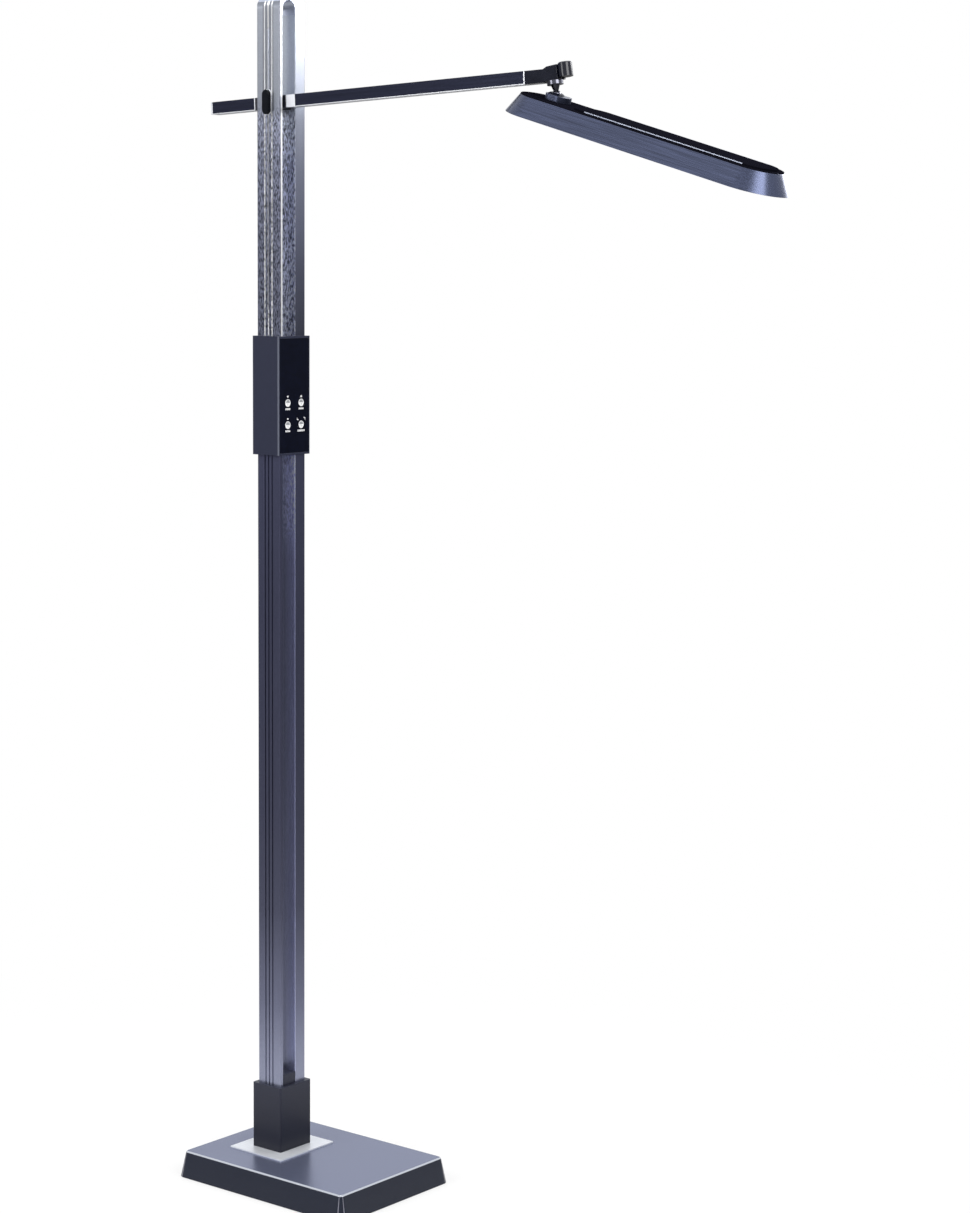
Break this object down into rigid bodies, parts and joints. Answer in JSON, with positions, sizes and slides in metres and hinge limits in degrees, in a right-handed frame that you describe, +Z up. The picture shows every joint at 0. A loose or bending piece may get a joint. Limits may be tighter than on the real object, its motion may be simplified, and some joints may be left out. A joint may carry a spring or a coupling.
{
  "type": "floor lamp",
  "caption": "Floor lamp with a weighted base, a slotted twin-profile column and a tilting cross arm that carries a long flat bar head on a ball joint.",
  "frame": {"origin": "centre of the base's footprint, on the floor", "axes": "+Z up the column; +X the way the cross arm and the head point"},
  "size_m": [0.8209, 0.202, 1.446],
  "materials": {
    "rubber": "matte",
    "steel": "satin",
    "iron": "matte",
    "base_paint": "satin",
    "polished_metal": "polished",
    "sleeve_black": "satin",
    "lower_anodised": "satin",
    "upper_anodised": "satin",
    "controller_paint": "satin",
    "panel_black": "gloss",
    "key_silver": "satin",
    "board_green": "satin",
    "component_black": "matte",
    "spring_brass": "satin",
    "wire_black": "matte",
    "slider_black": "matte",
    "washer_fibre": "matte",
    "knob_black": "gloss",
    "hub_black": "satin",
    "arm_navy": "brushed",
    "fitting_black": "gloss",
    "stud_black": "polished",
    "seat_grey": "satin",
    "block_blue": "satin",
    "housing_navy": "brushed",
    "cover_black": "gloss",
    "bare_aluminium": "satin",
    "board_white": "matte",
    "led_yellow": "satin",
    "tray_white": "matte",
    "diffuser_white": "satin"
  },
  "bodies": {
    "stand": {"base_pad": "rubber", "floor_plate": "steel", "base_weight": "iron", "base_cover": "base_paint", "floor_screws": "steel", "power_jack": "component_black", "foot_plate": "polished_metal", "socket_sleeve": "sleeve_black", "channel_insert": "sleeve_black", "foot_bolts": "steel", "socket_screws": "steel", "lower_fluted_plate": "lower_anodised", "lower_box_profile": "lower_anodised", "lower_wire": "wire_black", "controller_housing": "controller_paint", "column_coupler": "bare_aluminium", "coupler_screws": "steel", "controller_board": "board_green", "led_driver": "component_black", "touch_springs": "spring_brass", "touch_panel": "panel_black", "touch_keys": "key_silver", "upper_fluted_plate": "upper_anodised", "upper_box_profile": "upper_anodised", "top_bridge": "upper_anodised"},
    "carriage": {"carriage_cheeks": "slider_black", "pivot_pin": "steel", "friction_washers": "washer_fibre", "clamp_stud": "steel"},
    "knob": {"oval_knob": "knob_black"},
    "arm": {"arm_hub": "hub_black", "hub_sleeve": "polished_metal", "tail_ring": "polished_metal", "tail_tube": "arm_navy", "tail_cap": "polished_metal", "arm_tube": "arm_navy", "arm_end_ring": "polished_metal", "arm_end_fitting": "fitting_black", "end_boss": "fitting_black"},
    "stud": {"ball_stud": "stud_black", "stud_clip": "steel"},
    "seat": {"seat_ring": "seat_grey"},
    "head": {"dome_cap": "fitting_black", "head_block": "block_blue", "head_screws": "steel", "head_housing": "housing_navy", "top_cover": "cover_black", "top_panel": "cover_black", "panel_trims": "polished_metal", "heat_spreader": "bare_aluminium", "led_board": "board_white", "led_chips": "led_yellow", "reflector_tray": "tray_white", "diffuser_bezel": "tray_white", "diffuser": "diffuser_white"}
  },
  "joints": [
    {"name": "column_slide", "type": "slide", "parent": "stand", "child": "carriage", "axis": [0, 0, 1], "range_m": [-0.24, 0.08]},
    {"name": "knob_turn", "type": "hinge", "parent": "carriage", "child": "knob", "pos_m": [-0.053, -0.0228, 1.321], "axis": [0, -1, 0], "range_deg": [0, 90]},
    {"name": "arm_tilt", "type": "hinge", "parent": "carriage", "child": "arm", "pos_m": [-0.053, -0.00585, 1.321], "axis": [0, -1, 0], "range_deg": [-30, 30]},
    {"name": "head_swivel", "type": "hinge", "parent": "arm", "child": "stud", "pos_m": [0.36556, -0.00585, 1.31912], "axis": [-0.1564, 0, 0.9877], "range_deg": [-90, 90]},
    {"name": "head_tilt", "type": "hinge", "parent": "stud", "child": "seat", "pos_m": [0.36556, -0.00585, 1.31912], "axis": [0, -1, 0], "range_deg": [-5, 40]},
    {"name": "head_roll", "type": "hinge", "parent": "seat", "child": "head", "pos_m": [0.36556, -0.00585, 1.31912], "axis": [0.9632, 0, -0.2689], "range_deg": [-15, 15]}
  ]
}
